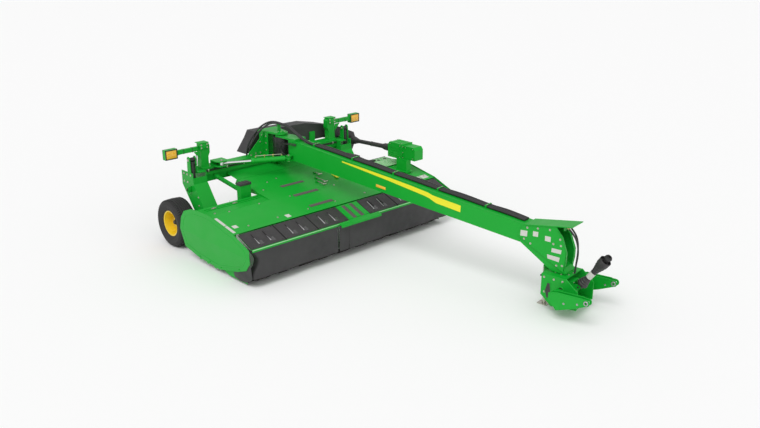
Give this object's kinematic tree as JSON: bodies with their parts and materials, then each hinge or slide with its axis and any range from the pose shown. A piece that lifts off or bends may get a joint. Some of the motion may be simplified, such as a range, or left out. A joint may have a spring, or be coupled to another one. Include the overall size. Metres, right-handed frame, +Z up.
{
  "type": "disc mower conditioner",
  "caption": "Pulled disc mower conditioner with a side-swinging tongue, swivelling two-link hitch, folding front doors, tined conditioner rotor and hydraulically raised wheels.",
  "frame": {"origin": "on the ground, under the middle of the machine's outer box", "axes": "+X to the machine's left, -Y the way it travels, +Z up"},
  "size_m": [4.28, 6.8377, 1.8293],
  "materials": {
    "green_paint": "gloss",
    "yellow_paint": "gloss",
    "black_paint": "satin",
    "dark_plastic": "satin",
    "curtain_rubber": "matte",
    "hose_rubber": "satin",
    "tyre_rubber": "matte",
    "bare_steel": "satin",
    "chrome_rod": "polished",
    "gear_cast": "satin",
    "lamp_lens": "gloss"
  },
  "bodies": {
    "chassis": {"cutterbar": "gear_cast", "drive_box": "green_paint", "driveline_shroud": "black_paint", "end_panels": "green_paint", "float_springs": "black_paint", "float_towers": "green_paint", "forming_shields": "green_paint", "frame_legs": "green_paint", "grip_strips": "dark_plastic", "header_deck": "green_paint", "header_drive_shaft": "dark_plastic", "header_frame": "green_paint", "header_links": "green_paint", "hose_arch": "hose_rubber", "impeller_hood": "green_paint", "lamp_boxes": "green_paint", "lamp_lenses": "lamp_lens", "main_frame": "green_paint", "pivot_tower": "green_paint", "step_plate": "green_paint"},
    "tongue": {"tongue_beam": "green_paint", "pivot_drum": "black_paint", "gooseneck": "green_paint", "hose_run": "hose_rubber", "front_hoses": "hose_rubber"},
    "hitch": {"hitch_frame": "green_paint"},
    "pto": {"pto_shaft": "dark_plastic", "pto_yoke": "bare_steel"},
    "jack": {"jack_leg": "bare_steel"},
    "swing_barrel": {"swing_barrel": "green_paint"},
    "swing_rod": {"swing_rod": "chrome_rod"},
    "door_left": {"front_door_left": "green_paint", "door_panels_left": "dark_plastic", "curtain_left": "curtain_rubber"},
    "door_right": {"front_door_right": "green_paint", "door_panels_right": "dark_plastic", "curtain_right": "curtain_rubber"},
    "rotor": {"impeller_rotor": "black_paint"},
    "swath_board": {"swath_board": "green_paint"},
    "wheel_left": {"tyre_left": "tyre_rubber", "rim_left": "yellow_paint"},
    "wheel_arm_left": {"wheel_arm_left": "green_paint"},
    "lift_barrel_left": {"lift_barrel_left": "black_paint"},
    "lift_rod_left": {"lift_rod_left": "chrome_rod"},
    "wheel_right": {"tyre_right": "tyre_rubber", "rim_right": "yellow_paint"},
    "wheel_arm_right": {"wheel_arm_right": "green_paint"},
    "lift_barrel_right": {"lift_barrel_right": "black_paint"},
    "lift_rod_right": {"lift_rod_right": "chrome_rod"},
    "disc_1": {"cutting_disc_1": "bare_steel"},
    "disc_2": {"cutting_disc_2": "bare_steel"},
    "disc_3": {"cutting_disc_3": "bare_steel"},
    "disc_4": {"cutting_disc_4": "bare_steel"},
    "disc_5": {"cutting_disc_5": "bare_steel"},
    "disc_6": {"cutting_disc_6": "bare_steel"},
    "disc_7": {"cutting_disc_7": "bare_steel"},
    "disc_8": {"cutting_disc_8": "bare_steel"},
    "disc_9": {"cutting_disc_9": "bare_steel"},
    "disc_10": {"cutting_disc_10": "bare_steel"}
  },
  "joints": [
    {"name": "tongue_swing", "type": "hinge", "parent": "chassis", "child": "tongue", "pos_m": [0, 2.61889, 1.42], "axis": [0, 0, 1], "range_deg": [-40.6, 27.4]},
    {"name": "swing_barrel_pivot", "type": "hinge", "parent": "tongue", "child": "swing_barrel", "pos_m": [-0.14851, 2.24937, 1.3], "axis": [0, 0, 1], "range_deg": [-28.33, 41.73]},
    {"name": "swing_rod_slide", "type": "slide", "parent": "swing_barrel", "child": "swing_rod", "axis": [-0.8984, 0.4391, 0], "range_m": [-0.2669, 0.1807]},
    {"name": "hitch_swivel", "type": "hinge", "parent": "tongue", "child": "hitch", "pos_m": [0.62296, -2.76519, 0.4], "axis": [0, 0, 1], "range_deg": [-60, 60]},
    {"name": "input_shaft_lift", "type": "hinge", "parent": "hitch", "child": "pto", "pos_m": [0.65169, -3.01353, 0.4], "axis": [0.9934, 0.1149, 0], "range_deg": [-8, 54]},
    {"name": "jack_slide", "type": "slide", "parent": "hitch", "child": "jack", "axis": [0, 0, 1], "range_m": [-0.1, 0.17]},
    {"name": "door_left_hinge", "type": "hinge", "parent": "chassis", "child": "door_left", "pos_m": [1, 1.00389, 0.73], "axis": [-1, 0, 0], "range_deg": [0, 50]},
    {"name": "door_right_hinge", "type": "hinge", "parent": "chassis", "child": "door_right", "pos_m": [-1, 1.00389, 0.73], "axis": [-1, 0, 0], "range_deg": [0, 50]},
    {"name": "wheel_arm_right_hinge", "type": "hinge", "parent": "chassis", "child": "wheel_arm_right", "pos_m": [-1.7, 2.53889, 0.56], "axis": [-1, 0, 0], "range_deg": [0, 44]},
    {"name": "lift_barrel_right_pivot", "type": "hinge", "parent": "chassis", "child": "lift_barrel_right", "pos_m": [-1.632, 2.85889, 1.43], "axis": [-1, 0, 0], "range_deg": [-0.3, 6.42]},
    {"name": "lift_rod_right_slide", "type": "slide", "parent": "lift_barrel_right", "child": "lift_rod_right", "axis": [0, -0.052, -0.9986], "range_m": [-0.002, 0.1856]},
    {"name": "wheel_right_spin", "type": "hinge", "parent": "wheel_arm_right", "child": "wheel_right", "pos_m": [-1.885, 3.02389, 0.395], "axis": [1, 0, 0], "continuous": true},
    {"name": "wheel_arm_left_hinge", "type": "hinge", "parent": "chassis", "child": "wheel_arm_left", "pos_m": [1.7, 2.53889, 0.56], "axis": [-1, 0, 0], "range_deg": [0, 44]},
    {"name": "lift_barrel_left_pivot", "type": "hinge", "parent": "chassis", "child": "lift_barrel_left", "pos_m": [1.632, 2.85889, 1.43], "axis": [-1, 0, 0], "range_deg": [-0.3, 6.42]},
    {"name": "lift_rod_left_slide", "type": "slide", "parent": "lift_barrel_left", "child": "lift_rod_left", "axis": [0, -0.052, -0.9986], "range_m": [-0.002, 0.1856]},
    {"name": "wheel_left_spin", "type": "hinge", "parent": "wheel_arm_left", "child": "wheel_left", "pos_m": [1.885, 3.02389, 0.395], "axis": [1, 0, 0], "continuous": true},
    {"name": "disc_1_spin", "type": "hinge", "parent": "chassis", "child": "disc_1", "pos_m": [-1.755, 0.95889, 0.1], "axis": [0, 0, 1], "continuous": true},
    {"name": "disc_2_spin", "type": "hinge", "parent": "chassis", "child": "disc_2", "pos_m": [-1.365, 0.95889, 0.1], "axis": [0, 0, 1], "continuous": true},
    {"name": "disc_3_spin", "type": "hinge", "parent": "chassis", "child": "disc_3", "pos_m": [-0.975, 0.95889, 0.1], "axis": [0, 0, 1], "continuous": true},
    {"name": "disc_4_spin", "type": "hinge", "parent": "chassis", "child": "disc_4", "pos_m": [-0.585, 0.95889, 0.1], "axis": [0, 0, 1], "continuous": true},
    {"name": "disc_5_spin", "type": "hinge", "parent": "chassis", "child": "disc_5", "pos_m": [-0.195, 0.95889, 0.1], "axis": [0, 0, 1], "continuous": true},
    {"name": "disc_6_spin", "type": "hinge", "parent": "chassis", "child": "disc_6", "pos_m": [0.195, 0.95889, 0.1], "axis": [0, 0, 1], "continuous": true},
    {"name": "disc_7_spin", "type": "hinge", "parent": "chassis", "child": "disc_7", "pos_m": [0.585, 0.95889, 0.1], "axis": [0, 0, 1], "continuous": true},
    {"name": "disc_8_spin", "type": "hinge", "parent": "chassis", "child": "disc_8", "pos_m": [0.975, 0.95889, 0.1], "axis": [0, 0, 1], "continuous": true},
    {"name": "disc_9_spin", "type": "hinge", "parent": "chassis", "child": "disc_9", "pos_m": [1.365, 0.95889, 0.1], "axis": [0, 0, 1], "continuous": true},
    {"name": "disc_10_spin", "type": "hinge", "parent": "chassis", "child": "disc_10", "pos_m": [1.755, 0.95889, 0.1], "axis": [0, 0, 1], "continuous": true},
    {"name": "rotor_spin", "type": "hinge", "parent": "chassis", "child": "rotor", "pos_m": [0, 1.55889, 0.43], "axis": [1, 0, 0], "continuous": true},
    {"name": "swath_board_hinge", "type": "hinge", "parent": "chassis", "child": "swath_board", "pos_m": [0, 1.93689, 0.7], "axis": [1, 0, 0], "range_deg": [-20, 20]}
  ],
  "couplings": [
    {"joint": "swing_barrel_pivot", "follows": "tongue_swing", "ratio": -1.0156},
    {"joint": "swing_rod_slide", "follows": "tongue_swing", "m_per_rad": 0.37378},
    {"joint": "lift_barrel_right_pivot", "follows": "wheel_arm_right_hinge", "ratio": 0.13911},
    {"joint": "lift_rod_right_slide", "follows": "wheel_arm_right_hinge", "m_per_rad": 0.23911},
    {"joint": "lift_barrel_left_pivot", "follows": "wheel_arm_right_hinge", "ratio": 0.13911},
    {"joint": "lift_rod_left_slide", "follows": "wheel_arm_right_hinge", "m_per_rad": 0.23911},
    {"joint": "wheel_arm_left_hinge", "follows": "wheel_arm_right_hinge", "ratio": 1},
    {"joint": "disc_2_spin", "follows": "disc_1_spin", "ratio": -1},
    {"joint": "disc_3_spin", "follows": "disc_1_spin", "ratio": 1},
    {"joint": "disc_4_spin", "follows": "disc_1_spin", "ratio": -1},
    {"joint": "disc_5_spin", "follows": "disc_1_spin", "ratio": 1},
    {"joint": "disc_6_spin", "follows": "disc_1_spin", "ratio": -1},
    {"joint": "disc_7_spin", "follows": "disc_1_spin", "ratio": 1},
    {"joint": "disc_8_spin", "follows": "disc_1_spin", "ratio": -1},
    {"joint": "disc_9_spin", "follows": "disc_1_spin", "ratio": 1},
    {"joint": "disc_10_spin", "follows": "disc_1_spin", "ratio": -1}
  ]
}
